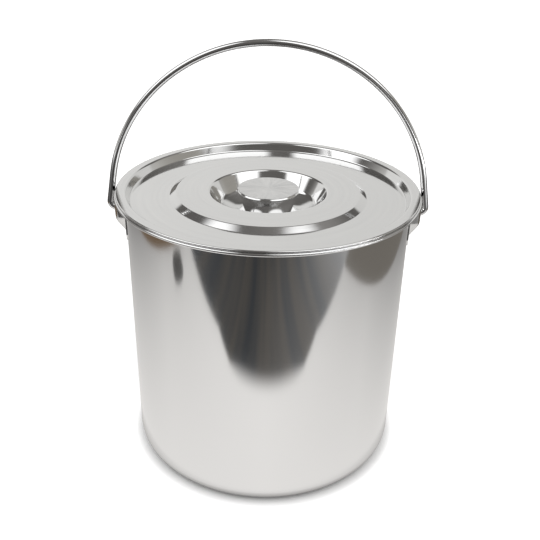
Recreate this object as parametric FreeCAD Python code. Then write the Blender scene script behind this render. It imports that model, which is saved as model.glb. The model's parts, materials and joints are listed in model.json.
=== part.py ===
import FreeCAD
import Part
import math
import os

# Stainless steel bucket with a wire bail and a sunken-knob lid, in millimetres.
# +Z is up, the origin is the middle of the base on the floor, and the ears lie on the X axis.

# Bucket shell, drawn from one sheet
wall_radius = 130.0  # outside of the straight wall
bucket_sheet = 0.8
rim_top = 261.3  # the flat rim's height over the floor
rim_overhang = 9.4  # the rim's edge past the wall
rim_roll_gap = 1.2  # space inside the rolled edge
rim_neck_bend = 2.0
rim_return = 2.6  # how far the roll runs back under the rim
base_corner_bend = 12.2
base_ring_width = 14.0  # flat ring that the bucket stands on
base_slope_run = 7.0
base_rise = 3.0  # the raised centre's height
base_bend = 4.0

# Ears, stamped from sheet
ear_sheet = 1.2
ear_standoff = 9.8  # outer face from the wall
ear_half_width = 17.0
ear_corner = 4.0
ear_top_drop = 3.5  # under the rolled rim
ear_box_height = 21.5  # upright part
ear_taper_height = 14.5  # part that runs back to the wall
ear_tip_half_width = 10.0
flange_side = 8.0  # flange beyond the box on each side
flange_below = 5.0  # flange under the taper's tip
flange_corner = 9.0
ear_hole_height = 6.0  # hole's centre over the box's lower edge

# Bail, one bent wire
wire_radius = 3.0
wire_clearance = 0.08  # round the wire in the ear's hole
hook_bend = 5.5  # centre line of the turned-in end
hook_gap = 1.4  # straight wire outside the ear's face
hook_end_gap = 1.8  # wire's end from the wall
bail_rise = 150.9  # top of the arch, on the wire's centre line, over the pivot
bail_lean = 8.6  # degrees that each leg leans in

# Lid, pressed from one sheet
lid_sheet = 0.7
lid_curl_gap = 0.6  # space inside the curled edge
lid_curl_return = 3.0
lid_edge_inset = 1.1  # lid's edge inside the rim's edge
mouth_gap = 2.6  # plug wall's foot to the bucket's wall
plug_flare = 3.4  # how far the plug wall opens up to the brim
lid_depth = 8.0  # brim down to the ring-shaped floor
plateau_drop = 4.0  # brim down to the raised step
plateau_radius = 84.3
step_run = 6.2  # how far the step's wall runs out to its foot
dish_radius = 54.1
dish_depth = 21.8
dish_flat_radius = 28.0  # flat under the knob
dish_foot_radius = 45.6  # where the dish's wall would meet its bowl
dish_foot_rise = 5.7  # how far the bowl rises from the flat to there
dish_bowl_bend = 36.0
dish_foot_bend = 6.0
brim_bend = 1.5
floor_bend = 1.6
step_foot_bend = 1.4
step_lip_bend = 0.9
dish_lip_bend = 1.6

# Knob in the dish
knob_radius = 28.4
knob_sheet = 0.6
knob_rise = 1.8  # cap's top over the raised step
knob_skirt = 3.6
knob_fit = 0.05  # round the cone's collar inside the skirt
knob_base_radius = 21.6
knob_collar_drop = 3.8  # cap's top down to where the cone begins
cap_edge_bend = 2.6
bowl_base_bend = 0.9
bowl_collar_bend = 1.5

# Fasteners of the knob
screw_radius = 2.5
screw_hole_gap = 0.25
screw_thread_gap = 0.05
screw_head_radius = 4.5
screw_head_height = 3.0
screw_head_edge = 1.0  # rounding of the head
screw_recess_width = 1.2
screw_recess_length = 5.0
screw_recess_depth = 1.6
screw_stick_out = 1.2  # past the nut
nut_across_flats = 8.0
nut_height = 4.0
washer_radius = 6.0
washer_thickness = 1.0
spring_washer_radius = 4.6
spring_washer_thickness = 1.2
spring_washer_slit = 0.9

overrun = 5.0  # cuts run this far past the metal

# Heights and radii that follow
rim_roll = rim_roll_gap + 2 * bucket_sheet
rim_radius = wall_radius + rim_overhang
rim_bottom = rim_top - rim_roll
lid_curl = lid_curl_gap + 2 * lid_sheet
brim_top = rim_top + lid_curl
lid_radius = rim_radius - lid_edge_inset
plug_radius = wall_radius - bucket_sheet - mouth_gap - lid_sheet
lid_floor = brim_top - lid_depth
plateau = brim_top - plateau_drop
dish_floor = plateau - dish_depth
knob_top = plateau + knob_rise
screw_hole_radius = screw_radius + screw_hole_gap
ear_top = rim_bottom - ear_top_drop
ear_knee = ear_top - ear_box_height
ear_tip = ear_knee - ear_taper_height
ear_face = wall_radius + ear_standoff
pivot_height = ear_knee + ear_hole_height

up = FreeCAD.Vector(0, 0, 1)
along_x = FreeCAD.Vector(1, 0, 0)
middle = FreeCAD.Vector(0, 0, 0)


# A point of a turned profile: distance from the axis, and height
def at(radius, height):
    return FreeCAD.Vector(radius, 0, height)


# The direction of each stretch of a profile
def headings(points):
    return [(b - a).normalize() for a, b in zip(points, points[1:])]


# The normal to the left of a heading in the profile's plane
def left_of(heading):
    return FreeCAD.Vector(-heading.z, 0, heading.x)


# One side of a bent sheet: straight stretches joined by arcs about the same centres as the other side's
def sheet_side(points, inside_bends, thickness, offset):
    ways = headings(points)
    corners = []
    for corner, before, after, bend in zip(points[1:], ways, ways[1:], inside_bends):
        turn = before.x * after.z - before.z * after.x
        side = math.copysign(1, turn)
        radius = bend + (abs(thickness) if side * thickness > 0 else 0)
        corners.append((corner, before, after, side, radius, math.tan(before.getAngle(after) / 2)))
    # a bend gives way where two of them need more than the stretch between them
    reaches = [0] + [radius * half for _, _, _, _, radius, half in corners] + [0]
    lengths = [(b - a).Length for a, b in zip(points, points[1:])]
    room = [length / max(length, s + t) for length, s, t in zip(lengths, reaches, reaches[1:])]
    edges = []
    last = points[0] + left_of(ways[0]) * offset
    for (corner, before, after, side, radius, half), near, far in zip(corners, room, room[1:]):
        radius *= min(near, far)
        start = corner - before * (radius * half)
        end = corner + after * (radius * half)
        centre = start + left_of(before) * (side * radius)
        bulge = (corner - centre).normalize() * (radius - side * offset)
        start = start + left_of(before) * offset
        end = end + left_of(after) * offset
        if not last.isEqual(start, Part.Precision.confusion()):
            edges.append(Part.LineSegment(last, start).toShape())
        edges.append(Part.Arc(start, centre + bulge, end).toShape())
        last = end
    edges.append(Part.LineSegment(last, points[-1] + left_of(ways[-1]) * offset).toShape())
    return edges


# A sheet turned about the Z axis: a line along one face, its inside bends, and the metal on the line's left
# (or on its right, where the thickness is negative)
def turned_sheet(points, inside_bends, thickness):
    near = sheet_side(points, inside_bends, thickness, 0)
    far = sheet_side(points, inside_bends, thickness, thickness)
    first, last = headings(points)[0], headings(points)[-1]
    caps = [
        Part.LineSegment(points[0], points[0] + left_of(first) * thickness).toShape(),
        Part.LineSegment(points[-1], points[-1] + left_of(last) * thickness).toShape(),
    ]
    outline = Part.Wire(Part.__sortEdges__(near + far + caps))
    return Part.Face(outline).revolve(middle, up, 360)


def ring(outer, inner, bottom, height):
    base = FreeCAD.Vector(0, 0, bottom)
    return Part.makeCylinder(outer, height, base).cut(Part.makeCylinder(inner, height, base))


# The line follows the underside, the outside of the wall and the inside of the rolled rim
def bucket_shell():
    ring_inner = wall_radius - base_corner_bend - base_ring_width
    under_rim = rim_top - bucket_sheet
    roll_edge = rim_radius - bucket_sheet
    roll_back = roll_edge - rim_roll_gap / 2 - rim_return
    line = [
        at(0, base_rise),
        at(ring_inner - base_slope_run, base_rise),
        at(ring_inner, 0),
        at(wall_radius, 0),
        at(wall_radius, under_rim),
        at(roll_edge, under_rim),
        at(roll_edge, under_rim - rim_roll_gap),
        at(roll_back, under_rim - rim_roll_gap),
    ]
    bends = [base_bend, base_bend, base_corner_bend, rim_neck_bend, rim_roll_gap / 2, rim_roll_gap / 2]
    return turned_sheet(line, bends, bucket_sheet)


# Level section through an ear's box, open towards the wall, with its two outer corners rounded
def ear_section(face, half_width, corner, height):
    back = wall_radius - ear_standoff
    inset = corner * (1 - math.sqrt(0.5))
    spots = [
        (back, -half_width),
        (face - corner, -half_width),
        (face - inset, -half_width + inset),
        (face, -half_width + corner),
        (face, half_width - corner),
        (face - inset, half_width - inset),
        (face - corner, half_width),
        (back, half_width),
    ]
    p = [FreeCAD.Vector(x, y, height) for x, y in spots]
    edges = [
        Part.LineSegment(p[0], p[1]),
        Part.Arc(p[1], p[2], p[3]),
        Part.LineSegment(p[3], p[4]),
        Part.Arc(p[4], p[5], p[6]),
        Part.LineSegment(p[6], p[7]),
        Part.LineSegment(p[7], p[0]),
    ]
    return Part.Wire([e.toShape() for e in edges])


# An ear's box and its taper to the wall, shrunk by an inset and reaching above its top by an excess
def ear_form(inset, excess):
    tip_face = math.sqrt(wall_radius**2 - ear_tip_half_width**2) + ear_sheet - inset
    knee = ear_section(ear_face - inset, ear_half_width - inset, ear_corner - inset, ear_knee)
    tip_corner = (ear_corner - inset) * ear_tip_half_width / ear_half_width
    tip = ear_section(tip_face, ear_tip_half_width - inset, tip_corner, ear_tip)
    box = Part.Face(knee).extrude(up * (ear_box_height + excess))
    taper = Part.makeLoft([tip, knee], True, True)
    return box.fuse(taper)


# The ear's flange on the wall, with its lower corners rounded
def ear_flange():
    half_width = ear_half_width + flange_side
    low = ear_tip - flange_below
    tall = ear_top - low
    start = FreeCAD.Vector(wall_radius - ear_standoff, -half_width, low)
    plate = Part.makeBox(2 * ear_standoff, 2 * half_width, tall, start)
    lower = [e for e in plate.Edges if all(v.Z < low + tall / 2 for v in e.Vertexes) and is_along_x(e)]
    plate = plate.makeFillet(flange_corner, lower)
    return plate.common(ring(wall_radius + ear_sheet, wall_radius, low, tall))


def is_along_x(edge):
    a, b = (v.Point for v in edge.Vertexes)
    return abs(a.x - b.x) > abs(a.y - b.y) + abs(a.z - b.z)


def ear_right():
    wall = Part.makeCylinder(wall_radius, rim_top)
    hole_start = FreeCAD.Vector(wall_radius - ear_standoff, 0, pivot_height)
    hole = Part.makeCylinder(wire_radius + wire_clearance, 2 * ear_standoff + overrun, hole_start, along_x)
    shell = ear_form(0, 0).cut(wall).fuse(ear_flange())
    return shell.cut(ear_form(ear_sheet, overrun)).cut(hole).removeSplitter()


def ear_left():
    return ear_right().mirror(middle, along_x)


# Half of the bail's centre line, from the wire's end in the right ear up to the top of the arch
def bail_half():
    lean = math.radians(bail_lean)
    out = FreeCAD.Vector(math.cos(lean), 0, math.sin(lean))  # square to the leg
    end = at(wall_radius + hook_end_gap, pivot_height)
    turn_centre = at(ear_face + hook_gap, pivot_height + hook_bend)
    turn_start = turn_centre - up * hook_bend
    turn_end = turn_centre + out * hook_bend
    # the arch touches both legs and reaches the top
    top = pivot_height + bail_rise
    arch_radius = (turn_end.dot(out) - top * out.z) / (1 - out.z)
    arch_centre = at(0, top - arch_radius)
    arch_start = arch_centre + out * arch_radius
    spread = math.pi / 4 - lean / 2
    arch_mid = arch_centre + FreeCAD.Vector(math.sin(spread), 0, math.cos(spread)) * arch_radius
    return [
        Part.LineSegment(end, turn_start).toShape(),
        Part.Arc(turn_start, turn_centre + turn_bulge(lean) * hook_bend, turn_end).toShape(),
        Part.LineSegment(turn_end, arch_start).toShape(),
        Part.Arc(arch_start, arch_mid, at(0, top)).toShape(),
    ]


# Middle of the turned-in end's bend, halfway between straight down and square to the leg
def turn_bulge(lean):
    half = lean / 2 - math.pi / 4
    return FreeCAD.Vector(math.cos(half), 0, math.sin(half))


def bail_wire():
    right = bail_half()
    left = [e.mirror(middle, along_x) for e in right]
    path = Part.Wire(Part.__sortEdges__(right + left))
    start = at(wall_radius + hook_end_gap, pivot_height)
    section = Part.Wire(Part.makeCircle(wire_radius, start, along_x))
    return path.makePipeShell([section], True, True)


# The line follows the lid's upper side from the screw's hole out to the curled edge
def lid_panel():
    line = [
        at(screw_hole_radius, dish_floor),
        at(dish_flat_radius, dish_floor),
        at(dish_foot_radius, dish_floor + dish_foot_rise),
        at(dish_radius, plateau),
        at(plateau_radius, plateau),
        at(plateau_radius + step_run, lid_floor),
        at(plug_radius, lid_floor),
        at(plug_radius + plug_flare, brim_top),
        at(lid_radius, brim_top),
        at(lid_radius, rim_top),
        at(lid_radius - lid_curl / 2 - lid_curl_return, rim_top),
    ]
    bends = [
        dish_bowl_bend,
        dish_foot_bend,
        dish_lip_bend,
        step_lip_bend,
        step_foot_bend,
        floor_bend,
        brim_bend,
        lid_curl_gap / 2,
        lid_curl_gap / 2,
    ]
    return turned_sheet(line, bends, -lid_sheet)


# The line follows the outside of the cone, from the screw's hole up to the collar inside the cap's skirt
def knob_bowl():
    collar = knob_radius - knob_sheet - knob_fit
    line = [
        at(screw_hole_radius, dish_floor),
        at(knob_base_radius, dish_floor),
        at(collar, knob_top - knob_collar_drop),
        at(collar, knob_top - knob_sheet - cap_edge_bend),
    ]
    return turned_sheet(line, [bowl_base_bend, bowl_collar_bend], knob_sheet)


def knob_cap():
    line = [at(0, knob_top), at(knob_radius, knob_top), at(knob_radius, knob_top - knob_skirt)]
    return turned_sheet(line, [cap_edge_bend], -knob_sheet)


def knob_nut():
    base = dish_floor + knob_sheet
    corner = nut_across_flats / math.sqrt(3)
    angles = [math.radians(60 * i) for i in range(6)]
    spots = [FreeCAD.Vector(corner * math.cos(a), corner * math.sin(a), base) for a in angles]
    hexagon = Part.Face(Part.makePolygon(spots + spots[:1])).extrude(up * nut_height)
    thread = Part.makeCylinder(screw_radius + screw_thread_gap, nut_height, FreeCAD.Vector(0, 0, base))
    return hexagon.cut(thread)


washer_top = dish_floor - lid_sheet
spring_washer_top = washer_top - washer_thickness
screw_seat = spring_washer_top - spring_washer_thickness


def knob_washer():
    return ring(washer_radius, screw_hole_radius, spring_washer_top, washer_thickness)


def knob_spring_washer():
    whole = ring(spring_washer_radius, screw_hole_radius, screw_seat, spring_washer_thickness)
    corner = FreeCAD.Vector(0, -spring_washer_slit / 2, screw_seat)
    slit = Part.makeBox(spring_washer_radius + overrun, spring_washer_slit, spring_washer_thickness, corner)
    return whole.cut(slit)


# Pan-head screw with a cross recess, its head down
def knob_screw():
    head_base = screw_seat - screw_head_height
    head = Part.makeCylinder(screw_head_radius, screw_head_height, FreeCAD.Vector(0, 0, head_base))
    rim = [e for e in head.Edges if all(v.Z < screw_seat for v in e.Vertexes) and len(e.Vertexes) == 1]
    head = head.makeFillet(screw_head_edge, rim)
    tip = dish_floor + knob_sheet + nut_height + screw_stick_out
    shank = Part.makeCylinder(screw_radius, tip - screw_seat, FreeCAD.Vector(0, 0, screw_seat))
    long, wide = screw_recess_length, screw_recess_width
    arms = [(long, wide), (wide, long)]
    screw = head.fuse(shank)
    for x, y in arms:
        corner = FreeCAD.Vector(-x / 2, -y / 2, head_base)
        screw = screw.cut(Part.makeBox(x, y, screw_recess_depth, corner))
    return screw.removeSplitter()


pieces = {
    "bucket_shell": bucket_shell,
    "ear_left": ear_left,
    "ear_right": ear_right,
    "bail_wire": bail_wire,
    "lid_panel": lid_panel,
    "knob_bowl": knob_bowl,
    "knob_cap": knob_cap,
    "knob_nut": knob_nut,
    "knob_screw": knob_screw,
    "knob_washer": knob_washer,
    "knob_spring_washer": knob_spring_washer,
}

os.makedirs("parts", exist_ok=True)
for name, make in pieces.items():
    shape = make()
    shape.exportStep(f"parts/{name}.step")
    state = "valid" if shape.isValid() else "not valid"
    print(f"{name}: {len(shape.Solids)} solid, {state}, {shape.Volume:.1f} mm3")
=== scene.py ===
import bpy
import json
import math
from mathutils import Matrix, Vector


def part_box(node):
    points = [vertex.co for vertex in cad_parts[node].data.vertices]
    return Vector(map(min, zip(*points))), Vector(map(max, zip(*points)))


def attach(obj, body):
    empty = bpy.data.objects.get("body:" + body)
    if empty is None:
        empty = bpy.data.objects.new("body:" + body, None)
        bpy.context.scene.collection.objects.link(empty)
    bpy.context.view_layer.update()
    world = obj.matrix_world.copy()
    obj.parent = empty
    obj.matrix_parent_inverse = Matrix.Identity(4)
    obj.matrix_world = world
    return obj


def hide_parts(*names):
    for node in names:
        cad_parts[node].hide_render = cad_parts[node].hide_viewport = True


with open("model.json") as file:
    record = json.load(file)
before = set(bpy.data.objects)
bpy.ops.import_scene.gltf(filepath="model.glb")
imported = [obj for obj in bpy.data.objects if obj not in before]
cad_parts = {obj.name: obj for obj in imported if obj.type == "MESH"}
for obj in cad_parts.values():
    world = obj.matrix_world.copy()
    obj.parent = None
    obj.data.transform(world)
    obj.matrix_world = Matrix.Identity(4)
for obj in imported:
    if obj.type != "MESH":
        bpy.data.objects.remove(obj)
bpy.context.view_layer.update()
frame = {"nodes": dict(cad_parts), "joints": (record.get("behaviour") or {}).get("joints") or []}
mm = 0.001
scene = bpy.context.scene
scene.view_settings.view_transform = "Standard"
print("frame loaded with", len(frame["nodes"]), "solids")

# sizes that the frame gives
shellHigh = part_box("bucket_shell")[1]
lidLow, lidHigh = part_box("lid_panel")
capLow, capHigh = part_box("knob_cap")
bowlLow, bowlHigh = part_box("knob_bowl")
earLow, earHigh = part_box("ear_right")
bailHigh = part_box("bail_wire")[1]
pivot = Vector(next(j["pos_m"] for j in frame["joints"] if j["name"] == "bail_swing"))


def leftOf(way):
    return Vector((-way.y, way.x))


# a line with rounded corners, as (spot, heading) pairs
def bentLine(points, radii, stepDegrees=6.0):
    points = [Vector(p) for p in points]
    ways = [(b - a).normalized() for a, b in zip(points, points[1:])]
    turns = [math.atan2(a.cross(b), a.dot(b)) for a, b in zip(ways, ways[1:])]
    reaches = [0.0] + [r * math.tan(abs(t) / 2) for r, t in zip(radii, turns)] + [0.0]
    lengths = [(b - a).length for a, b in zip(points, points[1:])]
    room = [n / max(n, a + b) for n, a, b in zip(lengths, reaches, reaches[1:])]
    track = [(points[0], ways[0])]
    for i, turn in enumerate(turns):
        share = min(room[i], room[i + 1])  # tight bends give way to each other
        radius = radii[i] * share
        side = math.copysign(1, turn)
        start = points[i + 1] - ways[i] * (reaches[i + 1] * share)
        centre = start + leftOf(ways[i]) * (side * radius)
        steps = max(3, math.ceil(abs(math.degrees(turn)) / stepDegrees))
        for k in range(steps + 1):
            way = Matrix.Rotation(turn * k / steps, 2) @ ways[i]
            track.append((centre - leftOf(way) * (side * radius), way))
    track.append((points[-1], ways[-1]))
    tidy = track[:1]
    for spot, way in track[1:]:
        if (spot - tidy[-1][0]).length > 0.002 * mm:
            tidy.append((spot, way))
    return tidy


# both faces of a bent sheet with round edges, as one (spot, normal) loop
def sheetLoop(points, bends, sheet):
    points = [Vector(p) for p in points]
    ways = [(b - a).normalized() for a, b in zip(points, points[1:])]
    turns = [a.cross(b) for a, b in zip(ways, ways[1:])]
    radii = [b + (abs(sheet) if t * sheet > 0 else 0) for b, t in zip(bends, turns)]
    half = abs(sheet) / 2
    onAxis = points[0].x < half
    if not onAxis:
        points[0] = points[0] + ways[0] * half
    points[-1] = points[-1] - ways[-1] * half
    track = bentLine(points, radii)
    out = -math.copysign(1, sheet)  # away from the metal on the drawn face
    near = [(spot, leftOf(way) * out) for spot, way in track]
    far = [(spot + leftOf(way) * sheet, leftOf(way) * -out) for spot, way in reversed(track)]
    loop = near + roundEdge(*track[-1], sheet) + far
    if not onAxis:
        spot, way = track[0]
        loop += roundEdge(spot + leftOf(way) * sheet, -way, sheet)
    return loop


def roundEdge(spot, way, sheet, steps=6):
    middle = spot + leftOf(way) * (sheet / 2)
    face = (spot - middle).normalized()
    edge = []
    for k in range(1, steps):
        angle = math.pi * k / steps
        normal = face * math.cos(angle) + way * math.sin(angle)
        edge.append((middle + normal * (abs(sheet) / 2), normal))
    return edge


def plainPiece(name, verts, faces):
    mesh = bpy.data.meshes.new(name)
    mesh.from_pydata(verts, [], faces)
    piece = bpy.data.objects.new(name, mesh)
    scene.collection.objects.link(piece)
    return piece


def smoothPiece(name, verts, faces, normals):
    piece = plainPiece(name, verts, faces)
    mesh = piece.data
    first = mesh.polygons[0]
    if first.normal.dot(sum((normals[v] for v in first.vertices), Vector((0, 0, 0)))) < 0:
        mesh.flip_normals()
    mesh.shade_smooth()
    mesh.normals_split_custom_set_from_vertices([n.normalized() for n in normals])
    return piece


# a loop turned about the bucket's axis
def turnedPiece(name, loop, around=288):
    verts, normals, rows, faces = [], [], [], []
    for spot, normal in loop:
        count = 1 if spot.x < 0.001 * mm else around
        rows.append([len(verts) + k for k in range(count)])
        for k in range(count):
            c, s = math.cos(math.tau * k / around), math.sin(math.tau * k / around)
            flat = 0 if count == 1 else 1
            verts.append((spot.x * c * flat, spot.x * s * flat, spot.y))
            normals.append(Vector((normal.x * c * flat, normal.x * s * flat, normal.y)))
    for a, b in zip(rows, rows[1:] + rows[:1]):
        for k in range(around):
            n = (k + 1) % around
            corners = [a[k % len(a)], a[n % len(a)], b[n % len(b)], b[k % len(b)]]
            face = list(dict.fromkeys(corners))
            if len(face) > 2:
                faces.append(face)
    return smoothPiece(name, verts, faces, normals)


# materials


class Nodes:
    def __init__(self, tree):
        self.tree = tree
        self.tree.nodes.clear()

    def add(self, kind, inputs=None, **settings):
        node = self.tree.nodes.new(kind)
        for key, value in settings.items():
            setattr(node, key, value)
        for key, value in (inputs or {}).items():
            socket = node.inputs[key]
            if isinstance(value, bpy.types.NodeSocket):
                self.tree.links.new(value, socket)
            else:
                socket.default_value = value
        return node

    def math(self, operation, a, b=0.0, c=0.0):
        return self.add("ShaderNodeMath", {0: a, 1: b, 2: c}, operation=operation).outputs[0]

    def vector(self, operation, a, b=(0.0, 0.0, 0.0)):
        node = self.add("ShaderNodeVectorMath", {0: a, 1: b}, operation=operation)
        return node.outputs["Value" if operation == "LENGTH" else "Vector"]

    def scaled(self, a, factor):
        return self.add("ShaderNodeVectorMath", {0: a, "Scale": factor}, operation="SCALE").outputs[0]

    def ramp(self, value, low, high, toLow=0.0, toHigh=1.0, smooth=False):
        kind = "SMOOTHSTEP" if smooth else "LINEAR"
        inputs = {0: value, 1: low, 2: high, 3: toLow, 4: toHigh}
        return self.add("ShaderNodeMapRange", inputs, interpolation_type=kind).outputs[0]

    def noise(self, vector, scale, detail=2.0, rough=0.55):
        inputs = {"Vector": vector, "Scale": scale, "Detail": detail, "Roughness": rough}
        return self.add("ShaderNodeTexNoise", inputs).outputs["Fac"]

    def mixColor(self, factor, a, b):
        return self.add("ShaderNodeMix", {0: factor, 6: a, 7: b}, data_type="RGBA").outputs[2]


def newMaterial(name):
    material = bpy.data.materials.new(name)
    material.use_nodes = True
    return material, Nodes(material.node_tree)


# a spot's place, its flat way from the bucket's axis, and its height
def axisPlace(n):
    place = n.add("ShaderNodeTexCoord").outputs["Object"]
    x, y, height = n.add("ShaderNodeSeparateXYZ", {0: place}).outputs
    return place, n.add("ShaderNodeCombineXYZ", {0: x, 1: y}).outputs[0], height


# noise lines about the axis: wander sets how they change round it, across how they change along it
def axisLines(n, level, wander, across):
    ringWay = n.scaled(n.vector("NORMALIZE", level), wander)
    x, y, _ = n.add("ShaderNodeSeparateXYZ", {0: ringWay}).outputs
    return n.add("ShaderNodeCombineXYZ", {0: x, 1: y, 2: across}).outputs[0]


grain = {
    "fineDetail": 3.0,
    "fineRough": 0.7,
    "broadDetail": 1.0,
    "hazeDetail": 3.0,
    "lineSpread": (0.3, 0.7),  # noise from low to high
    "hazeSpread": (0.35, 0.65),
    "bandWeight": 0.6,  # the rest of the tint follows the haze
    "bumpDepth": 0.05 * mm,
}


def steelSurface(n, look, place, lines):
    fine = n.noise(lines, 1.0, grain["fineDetail"], grain["fineRough"])
    broad = n.noise(lines, look["bandShare"], grain["broadDetail"])
    haze = n.noise(place, look["hazePerMetre"], grain["hazeDetail"])
    lineRough, hazeRough = look["lineRough"], look["hazeRough"]
    rough = n.math("ADD", n.ramp(fine, *grain["lineSpread"], -lineRough, lineRough), look["rough"])
    rough = n.math("ADD", rough, n.ramp(haze, *grain["hazeSpread"], -hazeRough, hazeRough))
    bandTint = n.math("MULTIPLY", broad, grain["bandWeight"])
    hazeTint = n.math("MULTIPLY", haze, 1 - grain["bandWeight"])
    tint = n.ramp(n.math("ADD", bandTint, hazeTint), *grain["lineSpread"])
    color = n.mixColor(tint, (*look["dark"], 1), (*look["light"], 1))
    height = {"Height": fine, "Strength": look["lineBump"], "Distance": grain["bumpDepth"]}
    bump = n.add("ShaderNodeBump", height)
    shader = n.add("ShaderNodeBsdfPrincipled", {
        "Base Color": color,
        "Metallic": 1.0,
        "Roughness": rough,
        "Anisotropic": look["stretch"],
        "Anisotropic Rotation": look["stretchTurn"],
        "Normal": bump.outputs[0],
    })
    n.add("ShaderNodeOutputMaterial", {0: shader.outputs[0]})


# brush lines that run round the bucket's axis on walls and flats alike
def spunSteel(name, look):
    material, n = newMaterial(name)
    place, level, height = axisPlace(n)
    run = n.math("ADD", n.vector("LENGTH", level), height)
    across = n.math("MULTIPLY", run, 1 / look["lineSpacing"])
    lines = axisLines(n, level, look["lineWander"], across)
    steelSurface(n, look, place, lines)
    return material


# streaks that run out from the middle of the knob's top
def turnedTopSteel(name, look):
    material, n = newMaterial(name)
    place, level, _ = axisPlace(n)
    along = n.math("MULTIPLY", n.vector("LENGTH", level), look["spokePerMetre"])
    lines = axisLines(n, level, look["spokeCount"], along)
    steelSurface(n, look, place, lines)
    return material


# lines along one straight direction, for drawn and stamped pieces
def drawnSteel(name, look):
    material, n = newMaterial(name)
    place = n.add("ShaderNodeTexCoord").outputs["Object"]
    lines = n.vector("MULTIPLY", place, look["linesPerMetre"])
    steelSurface(n, look, place, lines)
    return material


# bucket, drawn from one sheet

bucket = {
    "sheet": 0.8 * mm,
    "overhang": 9.4 * mm,
    "rollGap": 1.2 * mm,
    "rollBack": 2.6 * mm,
    "neckBend": 2.0 * mm,
    "cornerBend": 12.2 * mm,
    "ringWidth": 14.0 * mm,
    "slopeRun": 7.0 * mm,
    "baseRise": 3.0 * mm,
    "baseBend": 4.0 * mm,
    "look": {
        "dark": (0.755, 0.755, 0.76), "light": (0.78, 0.78, 0.78),
        "rough": 0.08, "lineRough": 0.01, "hazeRough": 0.005, "hazePerMetre": 9.0,
        "lineSpacing": 0.35 * mm, "lineWander": 0.3, "bandShare": 0.22, "lineBump": 0.05,
        "stretch": 0.6, "stretchTurn": 0.25,
    },
}
wallRadius = shellHigh.x - bucket["overhang"]


def makeBucket(b):
    rimTop = shellHigh.z
    ringIn = wallRadius - b["cornerBend"] - b["ringWidth"]
    underRim = rimTop - b["sheet"]
    rollEdge = shellHigh.x - b["sheet"]
    rollLow = underRim - b["rollGap"]
    line = [
        (0, b["baseRise"]), (ringIn - b["slopeRun"], b["baseRise"]), (ringIn, 0), (wallRadius, 0),
        (wallRadius, underRim), (rollEdge, underRim), (rollEdge, rollLow),
        (rollEdge - b["rollGap"] / 2 - b["rollBack"], rollLow),
    ]
    rollBend = b["rollGap"] / 2
    bends = [b["baseBend"], b["baseBend"], b["cornerBend"], b["neckBend"], rollBend, rollBend]
    return turnedPiece("bucketShell", sheetLoop(line, bends, b["sheet"]))


shell = makeBucket(bucket)
shell.data.materials.append(spunSteel("bucketSteel", bucket["look"]))
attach(shell, "bucket")
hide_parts("bucket_shell")
print("bucket made")

# lid, pressed from one sheet

lid = {
    "sheet": 0.7 * mm,
    "curlGap": 0.6 * mm,
    "curlBack": 3.0 * mm,
    "depth": 8.0 * mm,
    "mouthGap": 2.6 * mm,
    "plugFlare": 3.4 * mm,
    "plateauDrop": 4.0 * mm,
    "plateauRadius": 84.3 * mm,
    "stepRun": 6.2 * mm,
    "dishRadius": 54.1 * mm,
    "dishDepth": 21.8 * mm,
    "dishFlat": 28.0 * mm,
    "dishFoot": 45.6 * mm,
    "dishFootRise": 5.7 * mm,
    "dishBend": 36.0 * mm,
    "dishFootBend": 6.0 * mm,
    "holeRadius": 2.75 * mm,
    "lipBend": 1.6 * mm,
    "stepLip": 0.9 * mm,
    "stepFoot": 1.4 * mm,
    "floorBend": 1.6 * mm,
    "brimBend": 1.5 * mm,
    "look": {
        "dark": (0.75, 0.75, 0.75), "light": (0.79, 0.79, 0.785),
        "rough": 0.09, "lineRough": 0.012, "hazeRough": 0.008, "hazePerMetre": 18.0,
        "lineSpacing": 0.7 * mm, "lineWander": 3.0, "bandShare": 0.25, "lineBump": 0.08,
        "stretch": 0.5, "stretchTurn": 0.25,
    },
}


def makeLid(d):
    brim, rimTop = lidHigh.z, shellHigh.z
    edge = lidHigh.x
    plug = wallRadius - bucket["sheet"] - d["mouthGap"] - d["sheet"]
    floor = brim - d["depth"]
    plateau = brim - d["plateauDrop"]
    dishFloor = plateau - d["dishDepth"]
    curl = brim - rimTop
    line = [
        (d["holeRadius"], dishFloor), (d["dishFlat"], dishFloor),
        (d["dishFoot"], dishFloor + d["dishFootRise"]), (d["dishRadius"], plateau),
        (d["plateauRadius"], plateau), (d["plateauRadius"] + d["stepRun"], floor), (plug, floor),
        (plug + d["plugFlare"], brim),
        (edge, brim), (edge, rimTop), (edge - curl / 2 - d["curlBack"], rimTop),
    ]
    bends = [
        d["dishBend"], d["dishFootBend"], d["lipBend"], d["stepLip"], d["stepFoot"],
        d["floorBend"], d["brimBend"], d["curlGap"] / 2, d["curlGap"] / 2,
    ]
    return turnedPiece("lidPanel", sheetLoop(line, bends, -d["sheet"]))


lidPanel = makeLid(lid)
lidPanel.data.materials.append(spunSteel("lidSteel", lid["look"]))
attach(lidPanel, "lid")
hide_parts("lid_panel")
print("lid made")

# knob, a cone under a flat cap

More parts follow.
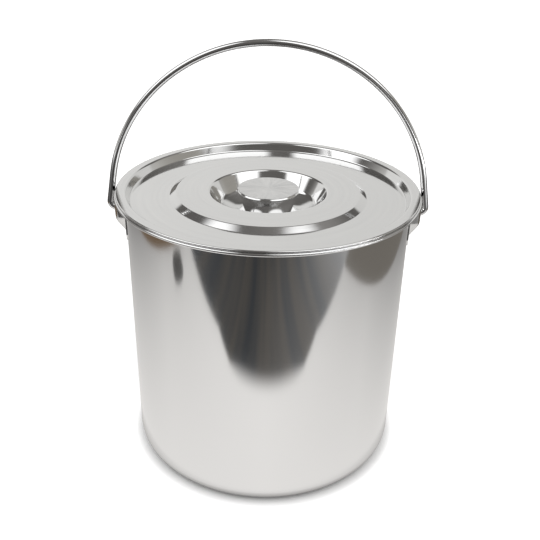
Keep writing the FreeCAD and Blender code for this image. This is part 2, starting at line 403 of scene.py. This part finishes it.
knob = {
    "sheet": 0.6 * mm,
    "fit": 0.05 * mm,
    "baseRadius": 21.2 * mm,
    "waistRadius": 25.5 * mm,
    "waistDrop": 9.0 * mm,
    "waistBend": 14.0 * mm,
    "collarDrop": 3.8 * mm,
    "topInset": 0.1 * mm,
    "grooveIn": 0.45 * mm,
    "grooveDrop": 0.6 * mm,
    "beadOut": 0.6 * mm,
    "beadDrop": 2.2 * mm,
    "capBends": [0.2 * mm, 0.15 * mm, 1.0 * mm],
    "baseBend": 0.9 * mm,
    "collarBend": 1.5 * mm,
    "coneLook": {
        "dark": (0.74, 0.74, 0.74), "light": (0.79, 0.79, 0.785),
        "rough": 0.08, "lineRough": 0.01, "hazeRough": 0.006, "hazePerMetre": 30.0,
        "lineSpacing": 0.5 * mm, "lineWander": 3.0, "bandShare": 0.3, "lineBump": 0.06,
        "stretch": 0.5, "stretchTurn": 0.25,
    },
    "topLook": {
        "dark": (0.66, 0.66, 0.665), "light": (0.80, 0.80, 0.795),
        "rough": 0.2, "lineRough": 0.05, "hazeRough": 0.01, "hazePerMetre": 60.0,
        "spokeCount": 9.0, "spokePerMetre": 60.0, "bandShare": 0.7, "lineBump": 0.1,
        "stretch": 0.4, "stretchTurn": 0.0,
    },
}


def makeKnobBowl(k):
    floor, top = bowlLow.z, capHigh.z
    collar = capHigh.x - k["sheet"] - k["fit"]
    line = [
        (lid["holeRadius"], floor), (k["baseRadius"], floor), (k["waistRadius"], top - k["waistDrop"]),
        (collar, top - k["collarDrop"]), (collar, bowlHigh.z),
    ]
    bends = [k["baseBend"], k["waistBend"], k["collarBend"]]
    return turnedPiece("knobBowl", sheetLoop(line, bends, k["sheet"]), 192)


def makeKnobCap(k):
    edge, top = capHigh.x, capHigh.z
    line = [
        (0, top), (edge - k["topInset"], top), (edge - k["grooveIn"], top - k["grooveDrop"]),
        (edge + k["beadOut"], top - k["beadDrop"]), (edge, capLow.z),
    ]
    return turnedPiece("knobCap", sheetLoop(line, k["capBends"], -k["sheet"]), 192)


coneSteel = spunSteel("knobConeSteel", knob["coneLook"])
knobBowl = makeKnobBowl(knob)
knobBowl.data.materials.append(coneSteel)
knobCap = makeKnobCap(knob)
knobCap.data.materials.append(turnedTopSteel("knobTopSteel", knob["topLook"]))
knobCap.data.materials.append(coneSteel)
for face in knobCap.data.polygons:
    face.material_index = 1 if face.center.z < capHigh.z - knob["grooveDrop"] / 2 else 0
for piece, node in ((knobBowl, "knob_bowl"), (knobCap, "knob_cap")):
    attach(piece, "lid")
    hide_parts(node)
print("knob made")

# bail, one bent wire

bail = {
    "hookBend": 5.5 * mm,
    "hookGap": 0.8 * mm,
    "endGap": 1.8 * mm,
    "lean": math.radians(10.0),
    "endRound": 0.7 * mm,
    "sides": 40,
    "look": {
        "dark": (0.70, 0.70, 0.705), "light": (0.78, 0.78, 0.78),
        "rough": 0.09, "lineRough": 0.02, "hazeRough": 0.01, "hazePerMetre": 60.0,
        "linesPerMetre": (60.0, 1500.0, 60.0), "bandShare": 0.3, "lineBump": 0.08,
        "stretch": 0.0, "stretchTurn": 0.0,
    },
}


def bailTrack(b, wire):
    lean = b["lean"]
    out = Vector((math.cos(lean), math.sin(lean)))
    up = leftOf(out)
    turn = Vector((earHigh.x + b["hookGap"], pivot.z + b["hookBend"])) + out * b["hookBend"]
    top = bailHigh.z - wire
    archRadius = (turn.dot(out) - top * out.y) / (1 - out.y)
    corner = turn - up * ((turn.y - pivot.z) / up.y)
    peak = turn + up * (turn.x / -up.x)
    end = Vector((wallRadius + b["endGap"], pivot.z))
    mirror = [Vector((-p.x, p.y)) for p in (corner, end)]
    points = [end, corner, peak, *mirror]
    return bentLine(points, [b["hookBend"], archRadius, b["hookBend"]], 2.0)


# rings of the wire's rounded end, from its tip inwards
def wireEnd(spot, way, wire, rounding, steps=4):
    rings = []
    for k in range(steps + 1):
        angle = math.pi / 2 * (1 - k / steps)
        inset = rounding * (1 - math.sin(angle))
        rings.append((spot + way * inset, wire - rounding * (1 - math.cos(angle)), angle))
    return rings


def makeBail(b):
    wire = bailHigh.y
    track = bailTrack(b, wire)
    (firstSpot, firstWay), (lastSpot, lastWay) = track[0], track[-1]
    first = wireEnd(firstSpot, firstWay, wire, b["endRound"])
    last = reversed(wireEnd(lastSpot, -lastWay, wire, b["endRound"]))
    rings = [(spot, firstWay, radius, -tilt) for spot, radius, tilt in first]
    rings += [(spot, way, wire, 0) for spot, way in track[1:-1]]
    rings += [(spot, lastWay, radius, tilt) for spot, radius, tilt in last]
    verts, normals, faces = [], [], []
    sides = b["sides"]
    for spot, way, radius, tilt in rings:
        along = Vector((way.x, 0, way.y))
        for k in range(sides):
            angle = math.tau * k / sides
            across = leftOf(way) * math.cos(angle)
            flat = Vector((across.x, math.sin(angle), across.y))
            verts.append((spot.x + flat.x * radius, flat.y * radius, spot.y + flat.z * radius))
            normals.append(flat * math.cos(tilt) + along * math.sin(tilt))
    for row in range(0, len(verts) - sides, sides):
        for k in range(sides):
            n = (k + 1) % sides
            faces.append((row + k, row + n, row + sides + n, row + sides + k))
    faces.append(tuple(reversed(range(sides))))
    faces.append(tuple(range(len(verts) - sides, len(verts))))
    return smoothPiece("bailWire", verts, faces, normals)


bailWire = makeBail(bail)
bailWire.data.materials.append(drawnSteel("bailSteel", bail["look"]))
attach(bailWire, "bail")
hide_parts("bail_wire")
print("bail made")

# ears, stamped sheet with a pocket for the wire's end

ear = {
    "sheet": 1.2 * mm,
    "halfWidth": 17.0 * mm,
    "draft": 1.2 * mm,
    "faceBend": 4.0 * mm,
    "footBend": 1.2 * mm,
    "boxHeight": 21.5 * mm,
    "taperHeight": 14.5 * mm,
    "tipHalfWidth": 10.0 * mm,
    "kneeSoft": 2.0 * mm,
    "flangeCorner": 9.0 * mm,
    "tipRunout": 8.0 * mm,
    "wireGap": 0.08 * mm,
    "holeOverrun": 4.0 * mm,
    "edgeBevel": 0.25 * mm,
    "bevelFrom": math.radians(60),
    "sharpFrom": math.radians(40),
    "rows": 72,
    "look": {
        "dark": (0.70, 0.70, 0.70), "light": (0.77, 0.77, 0.765),
        "rough": 0.12, "lineRough": 0.02, "hazeRough": 0.012, "hazePerMetre": 50.0,
        "linesPerMetre": (900.0, 1100.0, 50.0), "bandShare": 0.3, "lineBump": 0.08,
        "stretch": 0.0, "stretchTurn": 0.0,
    },
}


def softStep(value, soft):
    return (value + math.sqrt(value * value + soft * soft)) / 2


def earRow(e, z, section):
    wall = wallRadius + e["sheet"]
    knee = earHigh.z - e["boxHeight"]
    tip = knee - e["taperHeight"]
    below = softStep(knee - z, e["kneeSoft"]) / e["taperHeight"]  # 0 on the box, 1 at the tip
    depth = softStep(1 - below, e["kneeSoft"] / e["taperHeight"])
    depth = depth if z > tip - e["tipRunout"] else 0
    widthShare = 1 - min(below, 1) * (1 - e["tipHalfWidth"] / e["halfWidth"])
    corner = e["flangeCorner"]
    rise = max(0, corner - (z - earLow.z))
    half = earHigh.y - corner + math.sqrt(max(0, corner ** 2 - rise ** 2))
    foot = e["halfWidth"] + e["draft"] + e["footBend"]
    row = []
    for height, y in section:
        if abs(y) <= foot:
            newY = y * widthShare
        else:
            share = (abs(y) - foot) / (earHigh.y - foot)
            newY = math.copysign(foot * widthShare + share * (half - foot * widthShare), y)
        x = math.sqrt(wall ** 2 - newY ** 2) + height * min(depth, 1)
        row.append((x, newY, z))
    return row


def earSection(e):
    wall = wallRadius + e["sheet"]
    half, wide = e["halfWidth"], e["halfWidth"] + e["draft"]

    def base(y):
        return math.sqrt(wall ** 2 - y ** 2)

    points = [
        (base(earHigh.y), -earHigh.y), (base(wide), -wide), (earHigh.x, -half),
        (earHigh.x, half), (base(wide), wide), (base(earHigh.y), earHigh.y),
    ]
    bends = [e["footBend"], e["faceBend"], e["faceBend"], e["footBend"]]
    spots = [spot for spot, way in bentLine(points, bends, 12.0)]
    spots.insert(len(spots) // 2, (spots[len(spots) // 2 - 1] + spots[len(spots) // 2]) / 2)
    return [(max(0, x - base(y)), y) for x, y in spots]


def makeEar(e):
    section = earSection(e)
    verts, faces = [], []
    for k in range(e["rows"] + 1):
        share = k / e["rows"]
        z = earLow.z + (earHigh.z - earLow.z) * share
        verts += earRow(e, z, section)
    count = len(section)
    for k in range(e["rows"]):
        for j in range(count - 1):
            a = k * count + j
            faces.append((a, a + 1, a + 1 + count, a + count))
    piece = plainPiece("earRight", verts, faces)
    thick = piece.modifiers.new("thick", "SOLIDIFY")
    thick.thickness = e["sheet"]
    thick.offset = -1
    thick.use_even_offset = True
    edge = piece.modifiers.new("edge", "BEVEL")
    edge.width = e["edgeBevel"]
    edge.segments = 2
    edge.limit_method = "ANGLE"
    edge.angle_limit = e["bevelFrom"]
    hole = makeHole(e)
    cut = piece.modifiers.new("hole", "BOOLEAN")
    cut.operation = "DIFFERENCE"
    cut.object = hole
    cut.solver = "EXACT"
    done = bpy.data.meshes.new_from_object(piece.evaluated_get(bpy.context.evaluated_depsgraph_get()))
    piece.modifiers.clear()
    piece.data = done
    done.shade_smooth()
    done.set_sharp_from_angle(angle=e["sharpFrom"])
    bpy.data.objects.remove(hole)
    return piece


def makeHole(e, sides=64):
    radius = bailHigh.y + e["wireGap"]
    near, far = wallRadius, earHigh.x + e["holeOverrun"]
    spots = [(math.cos(math.tau * k / sides), math.sin(math.tau * k / sides)) for k in range(sides)]
    verts = [(x, radius * c, pivot.z + radius * s) for x in (near, far) for c, s in spots]
    faces = [(k, (k + 1) % sides, sides + (k + 1) % sides, sides + k) for k in range(sides)]
    faces += [tuple(reversed(range(sides))), tuple(range(sides, 2 * sides))]
    return plainPiece("wireHole", verts, faces)


earRight = makeEar(ear)
earLeft = bpy.data.objects.new("earLeft", earRight.data.copy())
earLeft.data.transform(Matrix.Scale(-1, 4, (1, 0, 0)))
earLeft.data.flip_normals()
scene.collection.objects.link(earLeft)
earSteel = drawnSteel("earSteel", ear["look"])
for piece, node in ((earRight, "ear_right"), (earLeft, "ear_left")):
    piece.data.materials.clear()
    piece.data.materials.append(earSteel)
    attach(piece, "bucket")
    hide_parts(node)
print("ears made")

# fasteners keep their solids

fastener = {
    "nodes": ["knob_nut", "knob_screw", "knob_washer", "knob_spring_washer"],
    "look": {
        "dark": (0.58, 0.58, 0.58), "light": (0.68, 0.68, 0.67),
        "rough": 0.26, "lineRough": 0.04, "hazeRough": 0.04, "hazePerMetre": 300.0,
        "lineSpacing": 0.3 * mm, "lineWander": 2.0, "bandShare": 0.4, "lineBump": 0.1,
        "stretch": 0.0, "stretchTurn": 0.0,
    },
}
fastenerSteel = spunSteel("fastenerSteel", fastener["look"])
for node in fastener["nodes"]:
    for slot in frame["nodes"][node].material_slots:
        slot.material = fastenerSteel
print("fasteners finished")

# stage: a white floor to the camera; in reflections a table top with painted light and painted contact
# shadow, in a darker room

stage = {
    "floorSize": 8.0,
    "floorDrop": 0.1 * mm,
    "floorWhite": 0.86,
    "seenWhite": 0.62,
    "seenContact": 11.0 * mm,  # how far the painted contact shadow under the base reaches
    "seenPower": 1.8,
    # how far the painted contact shadow reaches on the table seen in reflections
    "mirrorContact": 20.0 * mm,
    "contactSamples": 8,
    "table": {"left": -0.595, "right": 0.488, "front": -0.352, "slant": 0.04},
    # painted light on the table top, seen in reflections: brightest in the middle, falling off to the sides
    # and towards the back
    "glow": {"middle": 0.97, "sideFade": 0.75, "leftFade": 0.22, "rightFade": 0.38, "least": 0.3},
    "glowBack": {"from": -0.1, "fade": 0.75},
    "glowColor": (1.0, 0.98, 0.955),
    "bulge": {
        "middle": 0.005, "inner": 0.145, "outer": 0.235, "reach": 0.036,
        "soft": 0.026, "crisp": 0.004, "softTo": 0.087, "crispFrom": 0.174,
    },
    "patch": {
        "place": (-0.515, -0.23), "size": (0.055, 0.042),
        "powers": (4.0, 2.0),  # higher is boxier
        "color": (0.085, 0.083, 0.08),
    },
    "leftFloor": (0.17, 0.117, 0.073),
    "rightFloor": (0.185, 0.17, 0.15),
    "sideDark": {"from": 0.66, "to": 0.82, "color": (0.07, 0.068, 0.066)},
    "frontCool": (0.030, 0.033, 0.037),
    "frontWarm": (0.068, 0.060, 0.051),
    "streaks": {"perMetre": (16.0, 1.2, 1.0), "cool": 0.38, "warm": 0.62},
    "frontLight": {"left": 0.12, "right": 0.85, "blend": 0.3},  # gain with the square of the distance aside
    "frontNear": {"reach": 0.5, "left": 0.02, "right": 0.08, "from": -0.08, "to": 0.1},
}


def makeFloor(s):
    half = s["floorSize"] / 2
    corners = [(-half, -half, 0), (half, -half, 0), (half, half, 0), (-half, half, 0)]
    floor = plainPiece("floor", corners, [(0, 1, 2, 3)])
    floor.location.z = -s["floorDrop"]
    material, n = newMaterial("paleFloor")
    place = n.add("ShaderNodeTexCoord").outputs["Object"]
    x, y, _ = n.add("ShaderNodeSeparateXYZ", {0: place}).outputs
    aside = n.math("ABSOLUTE", x)

    table = s["table"]
    front = n.math("MULTIPLY_ADD", x, table["slant"], table["front"])
    fromFront = n.math("SUBTRACT", y, front)
    onTable = n.math("GREATER_THAN", fromFront, 0.0)
    onTable = n.math("MULTIPLY", onTable, n.math("GREATER_THAN", x, table["left"]))
    onTable = n.math("MULTIPLY", onTable, n.math("LESS_THAN", x, table["right"]))

    bulge = s["bulge"]
    fromBulge = n.math("ABSOLUTE", n.math("SUBTRACT", x, bulge["middle"]))
    reach = n.ramp(fromBulge, bulge["inner"], bulge["outer"], bulge["reach"], 0.0)
    blur = n.ramp(fromBulge, bulge["softTo"], bulge["crispFrom"], bulge["soft"], bulge["crisp"], True)
    beyond = n.math("DIVIDE", n.math("SUBTRACT", fromFront, reach), blur)
    soft = n.ramp(beyond, -1.0, 1.0, 1.0, 0.0, True)
    patch = s["patch"]
    offs = []
    for axis, middle, size, power in zip((x, y), patch["place"], patch["size"], patch["powers"]):
        off = n.math("DIVIDE", n.math("SUBTRACT", axis, middle), size)
        offs.append(n.math("POWER", off, power))
    offPatch = n.math("ADD", *offs)

    def shadow(distance):
        node = n.add("ShaderNodeAmbientOcclusion", {"Distance": distance}, samples=s["contactSamples"])
        return node.outputs["AO"]

    glow, back = s["glow"], s["glowBack"]
    onRight = n.math("GREATER_THAN", x, 0.0)
    behind = n.math("MAXIMUM", n.math("SUBTRACT", y, back["from"]), 0.0)
    fade = n.math("MULTIPLY", aside, n.ramp(onRight, 0.0, 1.0, -glow["leftFade"], -glow["rightFade"]))
    level = n.math("MULTIPLY_ADD", n.math("MULTIPLY", x, x), -glow["sideFade"], glow["middle"])
    level = n.math("MULTIPLY_ADD", behind, -back["fade"], n.math("ADD", level, fade))
    level = n.math("MAXIMUM", level, glow["least"])
    # the table's painted light, darkened by a painted contact shadow near the base
    pale = n.scaled(s["glowColor"], n.math("MULTIPLY", level, shadow(s["mirrorContact"])))

    sides = n.mixColor(onRight, (*s["leftFloor"], 1), (*s["rightFloor"], 1))
    dark = s["sideDark"]
    sides = n.mixColor(n.ramp(aside, dark["from"], dark["to"]), sides, (*dark["color"], 1))
    streaks = s["streaks"]
    streak = n.noise(n.vector("MULTIPLY", place, streaks["perMetre"]), 1.0)
    warmth = n.ramp(streak, streaks["cool"], streaks["warm"])
    ahead = n.mixColor(warmth, (*s["frontCool"], 1), (*s["frontWarm"], 1))
    light = s["frontLight"]
    gain = n.ramp(x, -light["blend"], light["blend"], light["left"], light["right"])
    lift = n.math("MULTIPLY", n.math("MULTIPLY", x, x), gain)
    close = s["frontNear"]
    gain = n.ramp(x, close["from"], close["to"], close["left"], close["right"])
    lift = n.math("ADD", lift, n.math("MULTIPLY", n.ramp(fromFront, -close["reach"], 0.0), gain))
    ahead = n.vector("ADD", ahead, n.add("ShaderNodeCombineXYZ", {0: lift, 1: lift, 2: lift}).outputs[0])

    color = n.mixColor(n.math("GREATER_THAN", fromFront, 0.0), ahead, sides)
    color = n.mixColor(onTable, color, n.mixColor(soft, pale, ahead))
    color = n.mixColor(n.math("LESS_THAN", offPatch, 1.0), color, (*patch["color"], 1))
    mirrored = n.add("ShaderNodeEmission", {"Color": color, "Strength": 1.0})

    lit = n.add("ShaderNodeBsdfDiffuse", {"Color": (s["floorWhite"],) * 3 + (1,)})
    # painted contact shadow: ambient occlusion near the base darkens the white that the camera sees
    thin = n.math("POWER", shadow(s["seenContact"]), s["seenPower"])
    white = n.add("ShaderNodeEmission", {"Strength": n.math("MULTIPLY", thin, s["seenWhite"])})
    seen = n.add("ShaderNodeAddShader", {0: lit.outputs[0], 1: white.outputs[0]})
    rays = n.add("ShaderNodeLightPath").outputs
    inView, inSteel = rays["Is Camera Ray"], rays["Is Glossy Ray"]
    plain = n.add("ShaderNodeMixShader", {0: inView, 1: lit.outputs[0], 2: seen.outputs[0]})
    both = n.add("ShaderNodeMixShader", {0: inSteel, 1: plain.outputs[0], 2: mirrored.outputs[0]})
    n.add("ShaderNodeOutputMaterial", {0: both.outputs[0]})
    floor.data.materials.append(material)


makeFloor(stage)

# soft studio light: two round lamps in a dim room, and a pale backdrop
# turns are in degrees from the front towards the right, rises in degrees above the horizon

studio = {
    "room": (0.125, 0.12, 0.114),
    "overhead": {
        "from": 30, "to": 55, "blend": 0.4,
        "left": (0.13, 0.125, 0.12), "right": (0.27, 0.26, 0.25),
    },
    "rightWall": {"from": 62, "to": 116, "top": 36, "soft": 6, "color": (0.36, 0.345, 0.315)},
    "sideGlow": {"turn": 100, "half": 30, "top": 12, "soft": 6, "color": (0.62, 0.61, 0.59)},
    "backdrop": {"side": 1.9, "sideSoft": 0.18, "top": 0.65, "topSoft": 0.06, "blend": 0.35},
    "backdropLeft": (0.83, 0.825, 0.81),
    "backdropRight": (0.73, 0.725, 0.71),
    "lamps": [
        {"turn": -73.5, "rise": 46.2, "radius": 28.4, "soft": 3.0, "level": 1.6},
        {"turn": 55.0, "rise": 53.3, "radius": 29.0, "soft": 3.0, "level": 1.6},
    ],
}


def makeStudio(s):
    world = bpy.data.worlds.new("studio")
    world.use_nodes = True
    scene.world = world
    n = Nodes(world.node_tree)
    way = n.add("ShaderNodeTexCoord").outputs["Generated"]
    x, y, z = n.add("ShaderNodeSeparateXYZ", {0: way}).outputs
    turn = n.math("MULTIPLY", n.math("ARCTAN2", x, n.math("MULTIPLY", y, -1.0)), math.degrees(1))
    rise = n.math("MULTIPLY", n.math("ARCSINE", z), math.degrees(1))

    def under(value, limit, soft):
        return n.ramp(value, limit - soft, limit + soft, 1, 0, True)

    def both(*masks):
        mask = masks[0]
        for other in masks[1:]:
            mask = n.math("MULTIPLY", mask, other)
        return mask

    wall = s["rightWall"]
    middle, half = (wall["from"] + wall["to"]) / 2, (wall["to"] - wall["from"]) / 2
    aside = n.math("ABSOLUTE", n.math("SUBTRACT", turn, middle))
    mask = both(under(aside, half, wall["soft"]), under(rise, wall["top"], wall["soft"]))
    high = s["overhead"]
    onRight = n.ramp(x, -high["blend"], high["blend"])
    above = n.mixColor(onRight, (*high["left"], 1), (*high["right"], 1))
    color = n.mixColor(n.ramp(rise, high["from"], high["to"], smooth=True), (*s["room"], 1), above)
    color = n.mixColor(mask, color, (*wall["color"], 1))
    strip = s["sideGlow"]
    aside = n.math("ABSOLUTE", n.math("SUBTRACT", n.math("ABSOLUTE", turn), strip["turn"]))
    mask = both(under(aside, strip["half"], strip["soft"]), under(rise, strip["top"], strip["soft"]))
    color = n.mixColor(mask, color, (*strip["color"], 1))
    back = s["backdrop"]
    depth = n.math("MAXIMUM", y, 0.001)  # keeps the divisions safe
    mask = both(
        n.math("GREATER_THAN", y, 0.0),
        under(n.math("DIVIDE", n.math("ABSOLUTE", x), depth), back["side"], back["sideSoft"]),
        under(n.math("DIVIDE", z, depth), back["top"], back["topSoft"]),
    )
    aslant = n.ramp(n.math("DIVIDE", x, depth), -back["blend"], back["blend"])
    pale = n.mixColor(aslant, (*s["backdropLeft"], 1), (*s["backdropRight"], 1))
    color = n.mixColor(mask, color, pale)
    for lamp in s["lamps"]:
        a, e = math.radians(lamp["turn"]), math.radians(lamp["rise"])
        aim = (math.sin(a) * math.cos(e), -math.cos(a) * math.cos(e), math.sin(e))
        cosine = n.add("ShaderNodeVectorMath", {0: way, 1: aim}, operation="DOT_PRODUCT").outputs["Value"]
        off = n.math("MULTIPLY", n.math("ARCCOSINE", cosine), math.degrees(1))
        color = n.mixColor(under(off, lamp["radius"], lamp["soft"]), color, (lamp["level"],) * 3 + (1,))
    light = n.add("ShaderNodeBackground", {"Color": color, "Strength": 1.0})
    plain = n.add("ShaderNodeBackground", {"Color": (1, 1, 1, 1), "Strength": 1.0})
    inView = n.add("ShaderNodeLightPath").outputs["Is Camera Ray"]
    mixed = n.add("ShaderNodeMixShader", {0: inView, 1: light.outputs[0], 2: plain.outputs[0]})
    n.add("ShaderNodeOutputWorld", {0: mixed.outputs[0]})


makeStudio(studio)
print("stage and light set")

# camera, placed as in the photo

lens = {
    "place": (0.0, -0.6203, 0.4977),
    "yaw": math.radians(0.289),
    "pitch": math.radians(-27.405),
    "roll": math.radians(1.242),
    "focal": 47.83,
    "sensor": 36.0,
}


def makeCamera(c):
    ahead = Vector((
        math.sin(c["yaw"]) * math.cos(c["pitch"]),
        math.cos(c["yaw"]) * math.cos(c["pitch"]),
        math.sin(c["pitch"]),
    ))
    right = ahead.cross(Vector((0, 0, 1))).normalized()
    up = right.cross(ahead)
    tiltRight = right * math.cos(c["roll"]) + up * math.sin(c["roll"])
    tiltUp = up * math.cos(c["roll"]) - right * math.sin(c["roll"])
    data = bpy.data.cameras.new("camera")
    data.lens = c["focal"]
    data.sensor_width = c["sensor"]
    camera = bpy.data.objects.new("camera", data)
    scene.collection.objects.link(camera)
    turned = Matrix((tiltRight, tiltUp, -ahead)).transposed().to_4x4()
    camera.matrix_world = Matrix.Translation(c["place"]) @ turned
    scene.camera = camera


makeCamera(lens)
print("camera set")
